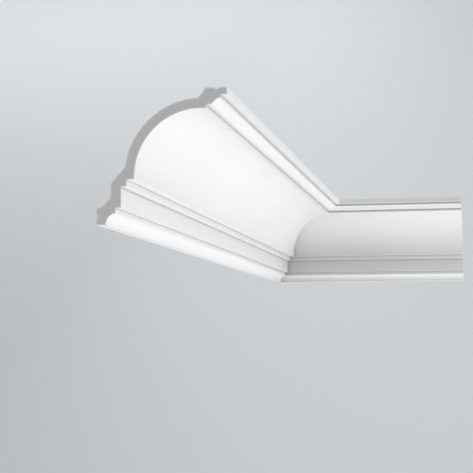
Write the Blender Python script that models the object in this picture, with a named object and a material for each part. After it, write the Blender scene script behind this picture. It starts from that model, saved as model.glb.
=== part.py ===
# Inside corner of a cove cornice: a long and a short length of the same moulding,
# mitred together where two walls meet. Units are metres, +Z is up.
# The long run follows the wall on the left, the short run the wall at the back.

from math import ceil, cos, pi, radians, sin, tan

import bpy
import bmesh
from mathutils import Vector

# Driving dimensions
LONG_LENGTH = 1.300      # long run, measured on its wall from the corner
SHORT_LENGTH = 0.430     # short run, measured on its wall from the corner
MITRE_GAP = 0.0003       # between the two mitred faces

# Face of the section, bottom to top. "Out" is away from the wall, "up" towards the ceiling.
UNDERSIDE_OUT = 0.0133   # flat bottom edge
CAVETTO_OUT = 0.0124     # small hollow above the bottom edge
CAVETTO_UP = 0.0143
CAVETTO_LEAN = 0.0018    # rise of the hollow's end tangent
CAVETTO_RADIUS = 0.0138
LOW_FILLET_UP = 0.0071
LOW_STEP_OUT = 0.0070
FASCIA_UP = 0.0266       # broad flat band
FASCIA_STEP_OUT = 0.0071
MID_FILLET_UP = 0.0089
COVE_STEP_OUT = 0.0099
COVE_OUT = 0.0927        # large hollow: a quarter circle with a short straight at each end
COVE_UP = 0.0874
COVE_RADIUS = 0.0836
COVE_FOOT_UP = 0.0038    # straight below the quarter circle
TOP_FILLET_UP = 0.0045
CYMA_OUT = 0.0184        # wave moulding under the outer fillet
CYMA_UP = 0.0076
CYMA_FLAT_OUT = 0.0071   # from the top fillet to the wave's lower corner
CYMA_SLOPE_OUT = 0.0064
CYMA_LOW_RADIUS = 0.0065
CYMA_HIGH_RADIUS = 0.0095
RIM_FILLET_UP = 0.0043
RIM_STEP_OUT = 0.0082
OUTER_FILLET_UP = 0.0093
ARRIS_RADIUS = 0.0005    # softened sharp edges

PROJECTION = (UNDERSIDE_OUT + CAVETTO_OUT + LOW_STEP_OUT + FASCIA_STEP_OUT + COVE_STEP_OUT
              + COVE_OUT + CYMA_OUT + RIM_STEP_OUT)
DROP = (CAVETTO_UP + LOW_FILLET_UP + FASCIA_UP + MID_FILLET_UP + COVE_UP + TOP_FILLET_UP
        + CYMA_UP + RIM_FILLET_UP + OUTER_FILLET_UP)

# Back of the section
SHELL_THICKNESS = 0.0134     # behind the cove
GLUE_GROOVE_WIDTH = 0.0062   # V groove along the middle of each glued face
GLUE_GROOVE_DEPTH = 0.0025
CEILING_FACE_WIDTH = 0.0281  # glued face under the ceiling, from the outer edge inwards
CEILING_GROOVE_AT = 0.0135   # groove centre, from the outer edge
BACK_SLOPE_OUT = 0.0090      # slope from the ceiling face down to the back of the cove
WALL_FACE_HEIGHT = 0.0215    # glued face on the wall, from the bottom edge upwards
WALL_GROOVE_AT = 0.0110      # groove centre, from the bottom edge
HEEL_OUT = 0.0085            # shallow rise above the wall face
HEEL_UP = 0.0022
WEB_BACK_OUT = 0.0186        # back of the web behind the fascia, from the wall
WEB_FOOT_UP = 0.0345         # its lower and upper ends, from the bottom edge
WEB_HEAD_UP = 0.0527
BACK_ARC_START = radians(6.9)  # ends of the back of the cove, above its centre's level
BACK_ARC_END = radians(89.0)
GROOVE_RADIUS = 0.0005       # softened corners of the back
CEILING_HEEL_RADIUS = 0.0010
BACK_ARC_END_RADIUS = 0.0020
BACK_ARC_START_RADIUS = 0.0040
WEB_HEAD_RADIUS = 0.0080
WEB_FOOT_RADIUS = 0.0060
WALL_HEEL_RADIUS = 0.0020

LONGEST_CHORD = 0.0035       # of the straight facets that stand for a curve
WIDEST_TURN = radians(15)    # from one facet to the next
STRAIGHT = radians(1)        # a corner that turns less stays a point
OVERRUN = 0.030              # extra length that the mitre cut takes off
WELD = 0.00001

WHITE_PRIMER = (0.86, 0.86, 0.86, 1.0)


def clear_scene():
    for item in list(bpy.data.objects):
        bpy.data.objects.remove(item, do_unlink=True)


def new_collection(name):
    collection = bpy.data.collections.new(name)
    bpy.context.scene.collection.children.link(collection)
    return collection


def walk(start, moves):
    """Corners reached by steps (out, up, radius) from a start (x, z)."""
    x, z = start
    corners = []
    for out, up, radius in moves:
        x += out
        z += up
        corners.append((x, z, radius))
    return corners


def face_corners():
    """Corners of the visible face, from the wall's bottom edge to the ceiling's outer edge."""
    return walk((0.0, 0.0), [
        (0, 0, ARRIS_RADIUS),
        (UNDERSIDE_OUT, 0, ARRIS_RADIUS),
        (0, CAVETTO_UP - CAVETTO_LEAN, CAVETTO_RADIUS),
        (CAVETTO_OUT, CAVETTO_LEAN, ARRIS_RADIUS),
        (0, LOW_FILLET_UP, ARRIS_RADIUS),
        (LOW_STEP_OUT, 0, ARRIS_RADIUS),
        (0, FASCIA_UP, ARRIS_RADIUS),
        (FASCIA_STEP_OUT, 0, ARRIS_RADIUS),
        (0, MID_FILLET_UP, ARRIS_RADIUS),
        (COVE_STEP_OUT, 0, ARRIS_RADIUS),
        (0, COVE_UP, COVE_RADIUS),
        (COVE_OUT, 0, ARRIS_RADIUS),
        (0, TOP_FILLET_UP, ARRIS_RADIUS),
        (CYMA_FLAT_OUT, 0, CYMA_LOW_RADIUS),
        (CYMA_SLOPE_OUT, CYMA_UP, CYMA_HIGH_RADIUS),
        (CYMA_OUT - CYMA_FLAT_OUT - CYMA_SLOPE_OUT, 0, ARRIS_RADIUS),
        (0, RIM_FILLET_UP, ARRIS_RADIUS),
        (RIM_STEP_OUT, 0, ARRIS_RADIUS),
        (0, OUTER_FILLET_UP, ARRIS_RADIUS),
    ])


def back_of_cove():
    """Points on the back of the cove, which runs parallel to its face, from top to bottom."""
    centre_x = (UNDERSIDE_OUT + CAVETTO_OUT + LOW_STEP_OUT + FASCIA_STEP_OUT + COVE_STEP_OUT
                + COVE_RADIUS)
    centre_z = CAVETTO_UP + LOW_FILLET_UP + FASCIA_UP + MID_FILLET_UP + COVE_FOOT_UP
    radius = COVE_RADIUS + SHELL_THICKNESS
    sweep = BACK_ARC_END - BACK_ARC_START
    count = ceil(sweep * radius / LONGEST_CHORD)
    angles = [BACK_ARC_END - sweep * step / count for step in range(count + 1)]
    return [(centre_x - radius * cos(a), centre_z + radius * sin(a), 0.0) for a in angles]


def back_corners():
    """Corners of the back, from the ceiling's outer edge to the wall's bottom edge."""
    half = GLUE_GROOVE_WIDTH / 2
    groove_x = PROJECTION - CEILING_GROOVE_AT
    slope_x = PROJECTION - CEILING_FACE_WIDTH
    arc = back_of_cove()
    arc[0] = (slope_x - BACK_SLOPE_OUT, arc[0][1], BACK_ARC_END_RADIUS)
    arc[-1] = (arc[-1][0], arc[-1][1], BACK_ARC_START_RADIUS)
    return [
        (groove_x + half, DROP, GROOVE_RADIUS),
        (groove_x, DROP - GLUE_GROOVE_DEPTH, GROOVE_RADIUS),
        (groove_x - half, DROP, GROOVE_RADIUS),
        (slope_x, DROP, CEILING_HEEL_RADIUS),
    ] + arc + [
        (WEB_BACK_OUT, WEB_HEAD_UP, WEB_HEAD_RADIUS),
        (WEB_BACK_OUT, WEB_FOOT_UP, WEB_FOOT_RADIUS),
        (HEEL_OUT, WALL_FACE_HEIGHT + HEEL_UP, WEB_FOOT_RADIUS),
        (0.0, WALL_FACE_HEIGHT, WALL_HEEL_RADIUS),
        (0.0, WALL_GROOVE_AT + half, GROOVE_RADIUS),
        (GLUE_GROOVE_DEPTH, WALL_GROOVE_AT, GROOVE_RADIUS),
        (0.0, WALL_GROOVE_AT - half, GROOVE_RADIUS),
    ]


def ease_corner(before, corner, after, radius):
    """The points of an arc that is tangent to both sides of a corner."""
    to_before = before - corner
    to_after = after - corner
    turn = pi - to_before.angle(to_after)
    if radius <= 0 or turn < STRAIGHT:
        return [corner]
    reach = radius * tan(turn / 2)
    bisector = (to_before.normalized() + to_after.normalized()).normalized()
    centre = corner + bisector * (radius / cos(turn / 2))
    spoke = corner + to_before.normalized() * reach - centre
    side = 1 if to_before.cross(to_after) < 0 else -1
    count = max(2, ceil(turn / min(LONGEST_CHORD / radius, WIDEST_TURN)))
    points = []
    for step in range(count + 1):
        angle = side * turn * step / count
        points.append(centre + Vector((spoke.x * cos(angle) - spoke.y * sin(angle),
                                       spoke.x * sin(angle) + spoke.y * cos(angle))))
    return points


def section_outline():
    """The whole closed outline: x is the distance from the wall, y the height."""
    corners = face_corners() + back_corners()
    places = [Vector((x, z)) for x, z, radius in corners]
    outline = []
    for index, (x, z, radius) in enumerate(corners):
        following = places[(index + 1) % len(places)]
        outline += ease_corner(places[index - 1], places[index], following, radius)
    return outline


def primed_foam(name):
    material = bpy.data.materials.new(name)
    material.use_nodes = True
    shader = material.node_tree.nodes["Principled BSDF"]
    shader.inputs["Base Color"].default_value = WHITE_PRIMER
    shader.inputs["Roughness"].default_value = 0.6
    shader.inputs["Metallic"].default_value = 0.0
    return material


def extruded_run(name, length, along, turn, corner, collection):
    """A straight length of the section, past the corner by OVERRUN, as a welded mesh."""
    curve = bpy.data.curves.new(name + "_outline", "CURVE")
    curve.dimensions = "2D"
    curve.fill_mode = "BOTH"
    curve.extrude = (length + OVERRUN) / 2
    outline = section_outline()
    spline = curve.splines.new("POLY")
    spline.points.add(len(outline) - 1)
    for point, place in zip(spline.points, outline):
        point.co = (place.x, place.y, 0.0, 1.0)
    spline.use_cyclic_u = True

    guide = bpy.data.objects.new(name + "_outline", curve)
    collection.objects.link(guide)
    guide.parent = corner
    guide.location = Vector(along) * (length - OVERRUN) / 2
    guide.rotation_euler = (radians(90), 0, turn)
    bpy.context.view_layer.update()

    evaluated = guide.evaluated_get(bpy.context.evaluated_depsgraph_get())
    mesh = bpy.data.meshes.new_from_object(evaluated)
    cleaned = bmesh.new()
    cleaned.from_mesh(mesh)
    bmesh.ops.remove_doubles(cleaned, verts=cleaned.verts, dist=WELD)
    bmesh.ops.recalc_face_normals(cleaned, faces=cleaned.faces)
    cleaned.to_mesh(mesh)
    cleaned.free()

    run = bpy.data.objects.new(name, mesh)
    collection.objects.link(run)
    run.matrix_world = guide.matrix_world.copy()
    bpy.data.objects.remove(guide, do_unlink=True)
    return run


def mitre_cutter(name, side, corner, collection):
    """A block whose face is the 45 degree mitre plane, set back by half the gap."""
    size = 4 * PROJECTION
    bpy.ops.mesh.primitive_cube_add(size=size)
    cutter = bpy.context.object
    cutter.name = name
    for holder in list(cutter.users_collection):
        holder.objects.unlink(cutter)
    collection.objects.link(cutter)
    cutter.parent = corner
    away = Vector((side, side, 0)).normalized()
    cutter.location = away * (size / 2 - MITRE_GAP / 2)
    cutter.rotation_euler = (0, 0, radians(45))
    cutter.hide_render = True
    cutter.display_type = "WIRE"
    return cutter


def cut_mitre(run, cutter):
    cut = run.modifiers.new("mitre", "BOOLEAN")
    cut.operation = "DIFFERENCE"
    cut.solver = "EXACT"
    cut.object = cutter


def shade_round_faces(run):
    run.data.shade_smooth()
    run.data.set_sharp_from_angle(angle=radians(25))


def build():
    clear_scene()
    pieces = new_collection("cornice_inside_corner")
    cutters = new_collection("cutters")

    # The frame's origin is under the middle of the whole corner, on its underside.
    corner = bpy.data.objects.new("room_corner", None)
    corner.location = (-SHORT_LENGTH / 2, LONG_LENGTH / 2, 0)
    pieces.objects.link(corner)

    runs = [
        ("long_run", LONG_LENGTH, (0, -1, 0), 0.0, 1),
        ("short_run", SHORT_LENGTH, (1, 0, 0), radians(-90), -1),
    ]
    for name, length, along, turn, side in runs:
        run = extruded_run(name, length, along, turn, corner, pieces)
        cutter = mitre_cutter(name + "_mitre_cutter", side, corner, cutters)
        cut_mitre(run, cutter)
        run.data.materials.append(primed_foam(name + "_primed_foam"))
        shade_round_faces(run)


build()
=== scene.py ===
from math import ceil, cos, exp, pi, radians, sin, tan

import bmesh
import bpy
from mathutils import Matrix, Vector


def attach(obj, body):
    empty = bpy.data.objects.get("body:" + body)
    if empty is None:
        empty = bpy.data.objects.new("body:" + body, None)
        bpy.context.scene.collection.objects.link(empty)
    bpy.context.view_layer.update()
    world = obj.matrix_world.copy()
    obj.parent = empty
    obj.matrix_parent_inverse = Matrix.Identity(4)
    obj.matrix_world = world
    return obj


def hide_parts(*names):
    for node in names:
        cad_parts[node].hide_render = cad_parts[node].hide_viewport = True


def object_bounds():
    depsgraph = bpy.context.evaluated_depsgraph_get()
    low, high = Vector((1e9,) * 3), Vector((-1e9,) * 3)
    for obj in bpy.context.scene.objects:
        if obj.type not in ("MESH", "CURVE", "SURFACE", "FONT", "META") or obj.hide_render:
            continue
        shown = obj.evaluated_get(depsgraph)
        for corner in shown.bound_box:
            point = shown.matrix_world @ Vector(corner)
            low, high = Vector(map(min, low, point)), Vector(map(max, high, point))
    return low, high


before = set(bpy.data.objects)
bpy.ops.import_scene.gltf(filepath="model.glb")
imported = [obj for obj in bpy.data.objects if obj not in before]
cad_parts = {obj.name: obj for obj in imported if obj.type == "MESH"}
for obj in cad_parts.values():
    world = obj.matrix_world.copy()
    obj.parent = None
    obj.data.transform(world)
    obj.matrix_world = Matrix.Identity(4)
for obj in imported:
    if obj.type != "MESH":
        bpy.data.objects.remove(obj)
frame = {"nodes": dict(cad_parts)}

print("frame loaded:", ", ".join(frame["nodes"]))
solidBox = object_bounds()
lowCorner, highCorner = [Vector(corner) for corner in solidBox]
roomCorner = Vector((lowCorner.x, highCorner.y, 0.0))   # where both backs meet, level with the bottom edge
mm = 0.001
tiny = 1e-6

# the section of the moulding in millimetres: out from the glued face, up from the bottom edge
section = {
    "undersideOut": 13.3,
    "cavettoOut": 12.4, "cavettoUp": 14.3, "cavettoLean": 1.8, "cavettoRadius": 13.8,
    "lowFilletUp": 7.1, "lowStepOut": 7.0,
    "fasciaUp": 26.6, "fasciaStepOut": 7.1,
    "midFilletUp": 8.9, "coveStepOut": 9.9,
    "coveOut": 92.7, "coveUp": 87.4, "coveRadius": 83.6, "coveFootUp": 3.8,
    "topFilletUp": 4.5,
    "cymaOut": 18.4, "cymaUp": 7.6, "cymaFlatOut": 7.1, "cymaSlopeOut": 6.4,
    "cymaLowRadius": 6.5, "cymaHighRadius": 9.5,
    "rimFilletUp": 4.3, "rimStepOut": 8.2, "outerFilletUp": 9.3,
    "arris": 0.45,            # crisp outer edges
    "quirk": 0.30,            # inner corners, a little fuller with primer
    "shell": 13.4,            # thickness behind the cove
    "grooveWidth": 6.2, "grooveDepth": 2.5, "grooveEase": 0.5,
    "ceilingFace": 28.1, "ceilingGrooveAt": 13.5, "ceilingHeel": 1.0,
    "backSlopeOut": 9.0,
    "wallFace": 21.5, "wallGrooveAt": 11.0, "wallHeel": 2.0,
    "heelOut": 8.5, "heelUp": 2.2,
    "webBack": 18.6, "webFoot": 34.5, "webHead": 52.7,
    "webFootEase": 6.0, "webHeadEase": 8.0,
    "arcFrom": 6.9, "arcTo": 89.0, "arcFromEase": 4.0, "arcToEase": 2.0,
    "chord": 1.6,             # longest facet along a curve
    "facetTurn": 15.0,        # most degrees from one facet to the next
    "straightTurn": 0.5,      # a corner of fewer degrees isn't eased
    "leastFacets": 3,         # round any eased corner
    "leastEase": 0.05,        # radius that is left at the inner edge of the skin
    "skin": 1.3,              # dense skin round a sawn end, paler than the core: partly the foam's own skin, partly a painted highlight along the edge
    "skinLeast": 0.97,        # share of the skin that its inner edge keeps from the outline
    "uprightLine": 0.88,      # painted shade: the grey line on the upright face below an inner corner
    "uprightLineWidths": (1.6, 2.4, 1.8, 3.4, 4.6),   # its widths, from the lowest inner corner up
    "ledgeLine": 0.40, "ledgeLineWidth": 4.0,         # and the fainter painted shade on the ledge above it
    "lineRows": (0.5, 1.1, 2.0, 3.4),   # rows of points beside an inner corner, to carry that painted shade
    "rowMargin": 0.08,        # share of a flat that stays free of rows at each end
}


def faceCorners(s):
    arris, quirk = s["arris"], s["quirk"]
    steps = [
        (0, 0, arris),
        (s["undersideOut"], 0, arris),
        (0, s["cavettoUp"] - s["cavettoLean"], s["cavettoRadius"]),
        (s["cavettoOut"], s["cavettoLean"], arris),
        (0, s["lowFilletUp"], quirk),
        (s["lowStepOut"], 0, arris),
        (0, s["fasciaUp"], quirk),
        (s["fasciaStepOut"], 0, arris),
        (0, s["midFilletUp"], quirk),
        (s["coveStepOut"], 0, arris),
        (0, s["coveUp"], s["coveRadius"]),
        (s["coveOut"], 0, arris),
        (0, s["topFilletUp"], quirk),
        (s["cymaFlatOut"], 0, s["cymaLowRadius"]),
        (s["cymaSlopeOut"], s["cymaUp"], s["cymaHighRadius"]),
        (s["cymaOut"] - s["cymaFlatOut"] - s["cymaSlopeOut"], 0, arris),
        (0, s["rimFilletUp"], quirk),
        (s["rimStepOut"], 0, arris),
        (0, s["outerFilletUp"], arris),
    ]
    out, up, corners = 0.0, 0.0, []
    for stepOut, stepUp, ease in steps:
        out, up = out + stepOut, up + stepUp
        corners.append((out, up, ease, "face"))
    return corners


def backCorners(s, reach, drop):
    half = s["grooveWidth"] / 2
    grooveOut = reach - s["ceilingGrooveAt"]
    slopeOut = reach - s["ceilingFace"]
    # the back of the cove is one arc round the same centre as its face
    centreOut = s["undersideOut"] + s["cavettoOut"] + s["lowStepOut"] + s["fasciaStepOut"] + s["coveStepOut"]
    centreOut += s["coveRadius"]
    centreUp = s["cavettoUp"] + s["lowFilletUp"] + s["fasciaUp"] + s["midFilletUp"] + s["coveFootUp"]
    radius = s["coveRadius"] + s["shell"]
    start, sweep = radians(s["arcTo"]), radians(s["arcTo"] - s["arcFrom"])
    count = ceil(sweep * radius / s["chord"])
    arc = []
    for step in range(count + 1):
        angle = start - sweep * step / count
        arc.append((centreOut - radius * cos(angle), centreUp + radius * sin(angle), 0.0))
    arc[0] = (slopeOut - s["backSlopeOut"], arc[0][1], s["arcToEase"])
    arc[-1] = (arc[-1][0], arc[-1][1], s["arcFromEase"])
    corners = [
        (grooveOut + half, drop, s["grooveEase"]),
        (grooveOut, drop - s["grooveDepth"], s["grooveEase"]),
        (grooveOut - half, drop, s["grooveEase"]),
        (slopeOut, drop, s["ceilingHeel"]),
    ] + arc + [
        (s["webBack"], s["webHead"], s["webHeadEase"]),
        (s["webBack"], s["webFoot"], s["webFootEase"]),
        (s["heelOut"], s["wallFace"] + s["heelUp"], s["webFootEase"]),
        (0.0, s["wallFace"], s["wallHeel"]),
        (0.0, s["wallGrooveAt"] + half, s["grooveEase"]),
        (s["grooveDepth"], s["wallGrooveAt"], s["grooveEase"]),
        (0.0, s["wallGrooveAt"] - half, s["grooveEase"]),
    ]
    return [corner + ("back",) for corner in corners]


def sectionLoops(s):
    # the outline, the same outline set in by the skin, each edge's side, and the face's inner corners
    face = faceCorners(s)
    reach, drop = face[-1][0], face[-1][1]
    corners = face + backCorners(s, reach, drop)
    places = [Vector((out, up)) for out, up, ease, side in corners]
    outline, inset, sides, innerCorners = [], [], [], []
    for index, (out, up, ease, side) in enumerate(corners):
        here = places[index]
        toBefore = (places[index - 1] - here).normalized()
        toAfter = (places[(index + 1) % len(places)] - here).normalized()
        turn = pi - toBefore.angle(toAfter)
        convex = toBefore.cross(toAfter) < 0
        inward = toBefore + toAfter
        if inward.length < tiny:
            inward = Vector((-toAfter.y, toAfter.x))
        inward = inward.normalized() * (1 if convex else -1)
        innerHere = here + inward * (s["skin"] / cos(turn / 2))
        if ease == s["quirk"]:
            innerCorners.append(here)
        if ease <= 0 or turn < radians(s["straightTurn"]):
            outline.append(here)
            inset.append(innerHere)
            sides.append(side)
            continue
        count = max(s["leastFacets"], ceil(turn / min(s["chord"] / ease, radians(s["facetTurn"]))))
        innerEase = max(ease - s["skin"], s["leastEase"]) if convex else ease + s["skin"]
        outline += easedCorner(here, toBefore, toAfter, turn, ease, count)
        inset += easedCorner(innerHere, toBefore, toAfter, turn, innerEase, count)
        sides += [side] * (count + 1)
    outline, inset, sides = addLineRows(s, outline, inset, sides, innerCorners)
    inset = trimInset(s, outline, inset)
    return outline, inset, sides, innerCorners


def trimInset(s, outline, inset):
    # where the inner loop would cross itself, its points draw together at the nearest clear one
    count = len(outline)
    least = s["skinLeast"] * s["skin"]
    clear = [min(gapToSide(point, outline[index - 1], outline[index]) for index in range(count)) > least
             for point in inset]
    trimmed = []
    for index in range(count):
        step = next(step for step in range(count) if clear[index - step] or clear[(index + step) % count])
        trimmed.append(inset[index - step] if clear[index - step] else inset[(index + step) % count])
    return trimmed


def gapToSide(point, start, end):
    side = end - start
    share = min(1, max(0, (point - start).dot(side) / side.length_squared))
    return (point - start - side * share).length


# painted shade along each inner corner: strongest at the corner, fading with distance up the face and,
# fainter, along the ledge
def paintedCornerShadeAt(s, point, innerCorners, spread):
    strongest = 0.0
    for corner, width in zip(innerCorners, s["uprightLineWidths"]):
        away = point - corner
        if away.x > abs(away.y):
            line = s["ledgeLine"] * exp(-away.length / s["ledgeLineWidth"] / spread)
        elif corner is innerCorners[-1] and away.length > s["rimFilletUp"] + s["arris"]:
            line = 0.0            # the highest line stops at the foot of its fillet
        else:
            line = s["uprightLine"] * exp(-away.length / width / spread)
        strongest = max(strongest, line)
    return strongest


def addLineRows(s, outline, inset, sides, innerCorners):
    # more points on the flats beside each inner corner, the same ones in both loops
    rows = ([], [], [])
    for index, start in enumerate(outline):
        end, innerStart = outline[(index + 1) % len(outline)], inset[index]
        innerEnd = inset[(index + 1) % len(outline)]
        length = (end - start).length
        shares = set()
        for corner in innerCorners:
            if (start - corner).length < 2 * s["quirk"]:
                shares.update(row / length for row in s["lineRows"])
            if (end - corner).length < 2 * s["quirk"]:
                shares.update(1 - row / length for row in s["lineRows"])
        margin = s["rowMargin"]
        shares = [0.0] + sorted(share for share in shares if margin < share < 1 - margin)
        for share in shares if length > 2 * s["lineRows"][0] else [0.0]:
            rows[0].append(start.lerp(end, share))
            rows[1].append(innerStart.lerp(innerEnd, share))
            rows[2].append(sides[index])
    return rows


def easedCorner(corner, toBefore, toAfter, turn, ease, count):
    centre = corner + (toBefore + toAfter).normalized() * (ease / cos(turn / 2))
    spoke = corner + toBefore * (ease * tan(turn / 2)) - centre
    way = 1 if toBefore.cross(toAfter) < 0 else -1
    points = []
    for step in range(count + 1):
        angle = way * turn * step / count
        points.append(centre + Vector((spoke.x * cos(angle) - spoke.y * sin(angle),
                                       spoke.x * sin(angle) + spoke.y * cos(angle))))
    return points


def newMaterial(name):
    material = bpy.data.materials.new(name)
    material.use_nodes = True
    return material, material.node_tree.nodes["Principled BSDF"]


def addNode(tree, kind, **values):
    node = tree.nodes.new(kind)
    for key, value in values.items():
        if hasattr(node, key):
            setattr(node, key, value)
        else:
            node.inputs[key].default_value = value
    return node


def newGroup(name, inputs, outputs):
    group = bpy.data.node_groups.new(name, "ShaderNodeTree")
    for label, kind, value in inputs:
        socket = group.interface.new_socket(label, in_out="INPUT", socket_type=kind)
        socket.default_value = value
    for label, kind in outputs:
        group.interface.new_socket(label, in_out="OUTPUT", socket_type=kind)
    entry = group.nodes.new("NodeGroupInput")
    leave = group.nodes.new("NodeGroupOutput")
    return group, entry, leave


def mapRange(tree, value, low, high, toLow, toHigh):
    node = addNode(tree, "ShaderNodeMapRange")
    for label, number in (("From Min", low), ("From Max", high), ("To Min", toLow), ("To Max", toHigh)):
        if isinstance(number, (int, float)):
            node.inputs[label].default_value = number
        else:
            tree.links.new(number, node.inputs[label])
    tree.links.new(value, node.inputs["Value"])
    return node.outputs["Result"]


def mixColours(tree, factor, first, second):
    # inputs 6 and 7 and output 2 are the colour sockets of a mix node
    node = addNode(tree, "ShaderNodeMix", data_type="RGBA")
    tree.links.new(factor, node.inputs["Factor"])
    tree.links.new(first, node.inputs[6])
    tree.links.new(second, node.inputs[7])
    return node.outputs[2]


def combine(tree, operation, first, second):
    node = addNode(tree, "ShaderNodeMath", operation=operation)
    for socket, value in zip(node.inputs, (first, second)):
        if isinstance(value, (int, float)):
            socket.default_value = value
        else:
            tree.links.new(value, socket)
    return node.outputs[0]


def noise(tree, coordinates, scale, detail, roughness=0.5):
    node = addNode(tree, "ShaderNodeTexNoise", Scale=scale, Detail=detail, Roughness=roughness)
    tree.links.new(coordinates, node.inputs["Vector"])
    return node.outputs["Fac"]


primerLook = {
    "peelDetail": 2.0, "peelRoughness": 0.55, "peelHeight": 0.6,
    "drawnScale": 60.0, "drawnDetail": 3.0, "drawnTone": 0.3, "drawnHeight": 0.4,
    "cloudScale": 9.0, "cloudDetail": 4.0, "cloudRoughness": 0.6, "cloudTone": 0.7,
    "toneFrom": 0.35, "toneTo": 0.65,       # stretch of the mixed noise from shaded to bright
    "sheenFrom": 0.3, "sheenTo": 0.7,       # stretch of the cloud from the low to the high sheen
}


# a sprayed primer: faint orange peel, broad cloudy variation and fine lines drawn along the length, with
# painted shade greying it along inner corners and round the mitre
def primerCoatGroup():
    look = primerLook
    group, entry, leave = newGroup("primerCoat", [
        ("Bright", "NodeSocketColor", (0.9, 0.9, 0.9, 1)),
        ("Shaded", "NodeSocketColor", (0.86, 0.86, 0.86, 1)),
        ("Painted Corner Shade", "NodeSocketColor", (0.4, 0.4, 0.4, 1)),
        ("Stretch", "NodeSocketVector", (1, 1, 1)),
        ("Peel", "NodeSocketFloat", 900.0),
        ("Sheen Low", "NodeSocketFloat", 0.45),
        ("Sheen High", "NodeSocketFloat", 0.6),
    ], [("Color", "NodeSocketColor"), ("Roughness", "NodeSocketFloat"), ("Height", "NodeSocketFloat")])
    links = group.links
    where = addNode(group, "ShaderNodeTexCoord").outputs["Object"]
    stretched = addNode(group, "ShaderNodeMapping")
    links.new(where, stretched.inputs["Vector"])
    links.new(entry.outputs["Stretch"], stretched.inputs["Scale"])

    peel = addNode(group, "ShaderNodeTexNoise", Detail=look["peelDetail"], Roughness=look["peelRoughness"])
    links.new(where, peel.inputs["Vector"])
    links.new(entry.outputs["Peel"], peel.inputs["Scale"])
    drawn = noise(group, stretched.outputs["Vector"], look["drawnScale"], look["drawnDetail"])
    cloud = noise(group, where, look["cloudScale"], look["cloudDetail"], look["cloudRoughness"])

    mix = combine(group, "ADD", combine(group, "MULTIPLY", cloud, look["cloudTone"]),
                  combine(group, "MULTIPLY", drawn, look["drawnTone"]))
    tone = mapRange(group, mix, look["toneFrom"], look["toneTo"], 0.0, 1.0)
    coat = mixColours(group, tone, entry.outputs["Shaded"], entry.outputs["Bright"])
    # painted shade: a mesh attribute mixes the coat towards the corner colour along inner corners and round
    # the mitre
    corner = addNode(group, "ShaderNodeAttribute", attribute_name="paintedCornerShade").outputs["Fac"]
    links.new(mixColours(group, corner, coat, entry.outputs["Painted Corner Shade"]), leave.inputs["Color"])
    rough = mapRange(group, cloud, look["sheenFrom"], look["sheenTo"],
                     entry.outputs["Sheen Low"], entry.outputs["Sheen High"])
    links.new(rough, leave.inputs["Roughness"])
    height = combine(group, "ADD", combine(group, "MULTIPLY", peel.outputs["Fac"], look["peelHeight"]),
                     combine(group, "MULTIPLY", drawn, look["drawnHeight"]))
    links.new(height, leave.inputs["Height"])
    return group


foamLook = {
    "patchScale": 55.0, "patchDetail": 3.0, "patchRoughness": 0.6,
    "patchFrom": 0.35, "patchTo": 0.7, "patchWeakest": 0.25,     # where the cells show less and more
    "sawScale": 110.0, "sawDistortion": 1.6, "sawDetail": 2.0, "sawTone": 0.35, "sawHeight": 0.4,
    "roughFrom": 0.3, "roughTo": 0.7, "roughLow": 0.82, "roughHigh": 0.96,
}


# rigid foam: round cells in patches, some open as pinholes, and the lines that a saw leaves
def foamCellsGroup():
    look = foamLook
    group, entry, leave = newGroup("foamCells", [
        ("Body", "NodeSocketColor", (0.4, 0.4, 0.4, 1)),
        ("Cell", "NodeSocketColor", (0.3, 0.3, 0.3, 1)),
        ("Cells", "NodeSocketFloat", 1400.0),
        ("Open", "NodeSocketFloat", 0.25),
        ("Saw", "NodeSocketFloat", 0.0),
    ], [("Color", "NodeSocketColor"), ("Roughness", "NodeSocketFloat"), ("Height", "NodeSocketFloat")])
    links = group.links
    where = addNode(group, "ShaderNodeTexCoord").outputs["Object"]
    cells = addNode(group, "ShaderNodeTexVoronoi", feature="F1", Randomness=1.0)
    links.new(where, cells.inputs["Vector"])
    links.new(entry.outputs["Cells"], cells.inputs["Scale"])
    pit = mapRange(group, cells.outputs["Distance"], 0.0, entry.outputs["Open"], 1.0, 0.0)
    patch = noise(group, where, look["patchScale"], look["patchDetail"], look["patchRoughness"])
    strong = mapRange(group, patch, look["patchFrom"], look["patchTo"], look["patchWeakest"], 1.0)
    pitted = combine(group, "MULTIPLY", pit, strong)

    saw = addNode(group, "ShaderNodeTexWave", wave_type="BANDS", bands_direction="DIAGONAL",
                  Scale=look["sawScale"], Distortion=look["sawDistortion"], Detail=look["sawDetail"])
    links.new(where, saw.inputs["Vector"])
    kerf = combine(group, "MULTIPLY", saw.outputs["Fac"], entry.outputs["Saw"])
    shade = combine(group, "ADD", pitted, combine(group, "MULTIPLY", kerf, look["sawTone"]))
    links.new(mixColours(group, shade, entry.outputs["Body"], entry.outputs["Cell"]), leave.inputs["Color"])
    rough = mapRange(group, patch, look["roughFrom"], look["roughTo"], look["roughLow"], look["roughHigh"])
    links.new(rough, leave.inputs["Roughness"])
    height = combine(group, "SUBTRACT", combine(group, "MULTIPLY", kerf, look["sawHeight"]), pitted)
    links.new(height, leave.inputs["Height"])
    return group


def groupMaterial(name, group, values, bump, specular=0.5):
    material, shader = newMaterial(name)
    tree = material.node_tree
    effect = tree.nodes.new("ShaderNodeGroup")
    effect.node_tree = group
    for label, value in values.items():
        effect.inputs[label].default_value = value
    relief = addNode(tree, "ShaderNodeBump", Strength=bump["strength"], Distance=bump["distance"])
    tree.links.new(effect.outputs["Color"], shader.inputs["Base Color"])
    tree.links.new(effect.outputs["Roughness"], shader.inputs["Roughness"])
    tree.links.new(effect.outputs["Height"], relief.inputs["Height"])
    tree.links.new(relief.outputs["Normal"], shader.inputs["Normal"])
    shader.inputs["Specular IOR Level"].default_value = specular
    return material


primerCoat = primerCoatGroup()
foamCells = foamCellsGroup()


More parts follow.
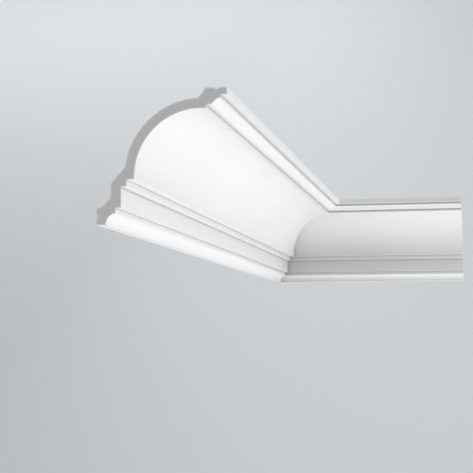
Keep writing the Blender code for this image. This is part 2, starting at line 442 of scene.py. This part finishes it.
def primerMaterial(name, stretch):
    return groupMaterial(name, primerCoat, {
        "Bright": (0.83, 0.83, 0.83, 1),
        "Shaded": (0.82, 0.82, 0.82, 1),
        # the tone of the painted shade in inner corners and at the mitre
        "Painted Corner Shade": (0.30, 0.30, 0.30, 1),
        "Stretch": stretch,
        "Peel": 900.0,
        "Sheen Low": 0.48,
        "Sheen High": 0.56,
    }, {"strength": 0.05, "distance": 0.0001}, specular=0.4)


sawnFoam = groupMaterial("sawnFoam", foamCells, {
    "Body": (0.735, 0.74, 0.745, 1), "Cell": (0.65, 0.655, 0.66, 1), "Cells": 1500.0,
    "Open": 0.35, "Saw": 0.25,
}, {"strength": 0.35, "distance": 0.0002})
# pale skin: partly the foam's own skin, partly a painted highlight along the edge
skinWithPaintedHighlight = groupMaterial("skinWithPaintedHighlight", foamCells, {
    "Body": (0.93, 0.93, 0.93, 1), "Cell": (0.88, 0.88, 0.88, 1), "Cells": 2600.0,
    "Open": 0.25, "Saw": 0.1,
}, {"strength": 0.2, "distance": 0.0001})
rawBack = groupMaterial("rawBack", foamCells, {
    "Body": (0.80, 0.80, 0.79, 1), "Cell": (0.66, 0.66, 0.65, 1), "Cells": 700.0,
    "Open": 0.18, "Saw": 0.0,
}, {"strength": 0.3, "distance": 0.0002})
print("materials ready")

faceSlot, backSlot, sawnSlot, skinSlot = range(4)     # order of the materials on both runs

runs = {
    "longRun": {
        "node": "long_run",
        "length": highCorner.y - lowCorner.y,
        "stretch": (1.0, 0.02, 1.0),     # drawn lines follow Y
        "stations": 30,
        "lineSpread": (1.15, 0.58),      # of the painted corner shade lines' width, at the mitre and at the sawn end
        "mitreTone": 0.28, "mitreToneWidth": 260.0,     # painted shade greying round the mitre, its strength and spread
        "place": lambda out, up, along: Vector((roomCorner.x + out, roomCorner.y - along, up)),
    },
    "shortRun": {
        "node": "short_run",
        "length": highCorner.x - lowCorner.x,
        "stretch": (0.02, 1.0, 1.0),     # drawn lines follow X
        "stations": 18,
        "lineSpread": (0.95, 0.95),
        "mitreTone": 0.33, "mitreToneWidth": 150.0,
        "place": lambda out, up, along: Vector((roomCorner.x + along, roomCorner.y - out, up)),
    },
    "mitreGap": 0.1,          # millimetres left between the two mitred faces
    "sharpAngle": 32.0,
    "stationSpacing": 2.2,    # over 1 draws the stations closer together towards the mitre
    "mitreLine": 0.34, "mitreLineWidth": 10.0,     # strength and spread of the painted shade line at the mitre
    "mitreLineFrom": 40.0, "mitreLineTo": 90.0,    # it fades as the face comes forward between these
    "mitreToneFrom": 110.0, "mitreToneTo": 165.0,   # and the wider painted shade fades between these
}


def capFaces(mesh, ring, slotIndex):
    # fills a closed flat ring of vertices, which may be hollow in places
    edges = []
    for index, vertex in enumerate(ring):
        edge = mesh.edges.get((vertex, ring[(index + 1) % len(ring)]))
        if edge is None:
            edge = mesh.edges.new((vertex, ring[(index + 1) % len(ring)]))
        edges.append(edge)
    filled = bmesh.ops.triangle_fill(mesh, edges=edges, use_beauty=True)
    for face in filled["geom"]:
        if isinstance(face, bmesh.types.BMFace):
            face.material_index = slotIndex


# painted shade at the mitre: a narrow grey line and a wider greying, both fading where the face comes forward
def paintedMitreShadeAt(out, fromMitre, settings):
    total = 0.0
    for effect, source in (("mitreLine", runs), ("mitreTone", settings)):
        recessed = (runs[effect + "To"] - out) / (runs[effect + "To"] - runs[effect + "From"])
        total += source[effect] * min(1, max(0, recessed)) * exp(-fromMitre / source[effect + "Width"])
    return total


def buildRun(name, settings, loops):
    outline, inset, sides, innerCorners = loops
    mesh = bmesh.new()
    paintedCornerShade = mesh.verts.layers.float.new("paintedCornerShade")
    place, length = settings["place"], settings["length"]
    rings = []
    for station in range(settings["stations"] + 1):
        share = (station / settings["stations"]) ** runs["stationSpacing"]
        spread = settings["lineSpread"][0] * (1 - share) + settings["lineSpread"][1] * share
        ring = []
        for point in outline:
            mitreAt = (point.x + runs["mitreGap"] / 2) * mm
            along = mitreAt + (length - mitreAt) * share
            vertex = mesh.verts.new(place(point.x * mm, point.y * mm, along))
            # painted shade: the corner lines and the mitre greying, stored on each vertex
            line = paintedCornerShadeAt(section, point, innerCorners, spread)
            vertex[paintedCornerShade] = 1 - (1 - line) * (1 - paintedMitreShadeAt(point.x, (along - mitreAt) / mm, settings))
            ring.append(vertex)
        rings.append(ring)
    count = len(outline)
    lastFace = sides.index("back") - 1
    for ring, following in zip(rings, rings[1:]):
        for index in range(count):
            after = (index + 1) % count
            face = mesh.faces.new((ring[index], ring[after], following[after], following[index]))
            face.material_index = faceSlot if index < lastFace else backSlot

    # sawn end: a thin pale skin round a darker core, its paleness partly a painted highlight along the edge
    core = []
    for index, point in enumerate(inset):
        repeated = index > 0 and (point - inset[index - 1]).length < tiny
        core.append(core[-1] if repeated else mesh.verts.new(place(point.x * mm, point.y * mm, length)))
    for index in range(count):
        after = (index + 1) % count
        corners = [rings[-1][index], rings[-1][after], core[after]]
        if core[index] is not core[after]:
            corners.append(core[index])
        mesh.faces.new(corners).material_index = skinSlot
    capFaces(mesh, [vertex for index, vertex in enumerate(core) if vertex is not core[index - 1]], sawnSlot)
    capFaces(mesh, rings[0], sawnSlot)
    bmesh.ops.recalc_face_normals(mesh, faces=mesh.faces)

    data = bpy.data.meshes.new(name)
    mesh.to_mesh(data)
    mesh.free()
    data.shade_smooth()
    data.set_sharp_from_angle(angle=radians(runs["sharpAngle"]))
    piece = bpy.data.objects.new(name, data)
    bpy.context.scene.collection.objects.link(piece)
    for material in (primerMaterial(name + "Primer", settings["stretch"]), rawBack, sawnFoam, skinWithPaintedHighlight):
        data.materials.append(material)
    weighted = piece.modifiers.new("flatFaces", "WEIGHTED_NORMAL")
    weighted.keep_sharp = True
    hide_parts(settings["node"])
    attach(piece, "root")
    return piece


loops = sectionLoops(section)
for name in ("longRun", "shortRun"):
    piece = buildRun(name, runs[name], loops)
    print(name, "built:", len(piece.data.polygons), "faces")

studio = {
    "floorBelow": 4.6,        # the moulding hangs high over the paper, and the camera looks up at it
    "backAt": 5.0, "frontAt": -24.0, "halfWidth": 18.0, "wallHeight": 9.0,
    "sweepRadius": 2.4, "sweepSteps": 24,
    "paper": (0.60, 0.62, 0.628, 1), "paperRoughness": 0.9, "paperGlow": 0.17,
    "world": (1.0, 1.0, 1.0, 1), "worldStrength": 0.370,
    "farGlow": 0.20,          # more glow, seen only, that keeps the far paper as pale as the near part
    "farFrom": 2.6, "farTo": 7.0, "nearPoint": (-1.2, 5.0, 0.5),     # metres from this point
    "beyond": (0.453, 0.468, 0.474, 1),    # what shows past the edge of the paper, in its far tone
}


def buildStudio():
    # one sheet of pale paper: level in front, then a curved sweep, then upright behind
    mesh = bmesh.new()
    rows = [(studio["frontAt"], -studio["floorBelow"])]
    steps = studio["sweepSteps"]
    for step in range(steps + 1):
        angle = radians(90) * step / steps
        rows.append((studio["backAt"] - studio["sweepRadius"] * (1 - sin(angle)),
                     -studio["floorBelow"] + studio["sweepRadius"] * (1 - cos(angle))))
    rows.append((studio["backAt"], studio["wallHeight"]))
    pairs = [(mesh.verts.new((-studio["halfWidth"], y, z)), mesh.verts.new((studio["halfWidth"], y, z)))
             for y, z in rows]
    for (left, right), (nextLeft, nextRight) in zip(pairs, pairs[1:]):
        mesh.faces.new((left, right, nextRight, nextLeft))
    data = bpy.data.meshes.new("studioPaper")
    mesh.to_mesh(data)
    mesh.free()
    data.shade_smooth()
    paper = bpy.data.objects.new("studioPaper", data)
    bpy.context.scene.collection.objects.link(paper)
    material, shader = newMaterial("studioPaper")
    shader.inputs["Base Color"].default_value = studio["paper"]
    shader.inputs["Roughness"].default_value = studio["paperRoughness"]
    shader.inputs["Emission Color"].default_value = studio["paper"]
    paperTree = material.node_tree
    where = addNode(paperTree, "ShaderNodeTexCoord").outputs["Object"]
    away = addNode(paperTree, "ShaderNodeVectorMath", operation="DISTANCE")
    paperTree.links.new(where, away.inputs[0])
    away.inputs[1].default_value = studio["nearPoint"]
    far = mapRange(paperTree, away.outputs["Value"], studio["farFrom"], studio["farTo"],
                   0.0, studio["farGlow"])
    seen = addNode(paperTree, "ShaderNodeLightPath").outputs["Is Camera Ray"]
    glow = combine(paperTree, "ADD", combine(paperTree, "MULTIPLY", far, seen), studio["paperGlow"])
    paperTree.links.new(glow, shader.inputs["Emission Strength"])
    data.materials.append(material)

    world = bpy.data.worlds.new("studioWorld")
    bpy.context.scene.world = world
    world.use_nodes = True
    tree = world.node_tree
    lighting = tree.nodes["Background"]
    lighting.inputs["Color"].default_value = studio["world"]
    lighting.inputs["Strength"].default_value = studio["worldStrength"]
    beyond = addNode(tree, "ShaderNodeBackground", Color=studio["beyond"], Strength=1.0)
    seen = addNode(tree, "ShaderNodeMixShader")
    tree.links.new(addNode(tree, "ShaderNodeLightPath").outputs["Is Camera Ray"], seen.inputs[0])
    tree.links.new(lighting.outputs[0], seen.inputs[1])
    tree.links.new(beyond.outputs[0], seen.inputs[2])
    tree.links.new(seen.outputs[0], tree.nodes["World Output"].inputs["Surface"])


softboxes = {
    # name: place, aim, width and height in metres, and power in watts
    "lowKey": ((2.7, -0.35, -3.5), (0.0, 0.0, 0.10), 3.0, 3.0, 177.0),
    "highRight": ((3.4, -0.4, 2.6), (0.0, 0.0, 0.10), 2.4, 2.4, 50.0),
    "frontFill": ((-1.2, -2.3, 1.2), (-0.1, -0.4, 0.08), 1.2, 1.2, 9.2),
    "backLeft": ((-2.8, 2.2, 2.4), (0.0, 0.0, 0.08), 1.8, 1.8, 100.0),
    "paperWash": ((-2.3, 3.9, 2.3), (-2.3, 5.0, 0.7), 4.0, 0.4, 21.0),
}


def aimed(place, target):
    direction = Vector(target) - Vector(place)
    return direction.to_track_quat("-Z", "Y").to_matrix().to_4x4()


def buildLights():
    for name, (place, target, width, height, power) in softboxes.items():
        lamp = bpy.data.lights.new(name, "AREA")
        lamp.shape = "RECTANGLE"
        lamp.size = width
        lamp.size_y = height
        lamp.energy = power
        light = bpy.data.objects.new(name, lamp)
        light.matrix_world = Matrix.Translation(place) @ aimed(place, target)
        light.visible_camera = False
        bpy.context.scene.collection.objects.link(light)


view = {
    # from the upper back corner of the piece, in metres
    "right": 0.4807, "back": -2.7030, "down": -0.3253,
    "yaw": -12.043, "pitch": 5.478, "roll": 0.138,     # degrees
    "focalPixels": 1173.62, "framePixels": 473.0, "sensor": 36.0, "farthest": 50.0,
}


def buildCamera():
    yaw, pitch, roll = radians(view["yaw"]), radians(view["pitch"]), radians(view["roll"])
    forward = Vector((sin(yaw) * cos(pitch), cos(yaw) * cos(pitch), sin(pitch)))
    level = Vector((cos(yaw), -sin(yaw), 0.0))
    upright = level.cross(forward)
    right = level * cos(roll) + upright * sin(roll)
    up = upright * cos(roll) - level * sin(roll)
    turn = Matrix((right, up, -forward)).transposed().to_4x4()
    ceilingCorner = roomCorner + Vector((0, 0, highCorner.z))
    place = ceilingCorner + Vector((view["right"], view["back"], view["down"]))
    lens = bpy.data.cameras.new("camera")
    lens.sensor_width = view["sensor"]
    lens.lens = view["sensor"] * view["focalPixels"] / view["framePixels"]
    lens.clip_end = view["farthest"]
    camera = bpy.data.objects.new("camera", lens)
    camera.matrix_world = Matrix.Translation(place) @ turn
    bpy.context.scene.collection.objects.link(camera)
    bpy.context.scene.camera = camera


buildStudio()
buildLights()
buildCamera()
bpy.context.scene.view_settings.view_transform = "Standard"
print("studio, lights and camera ready")
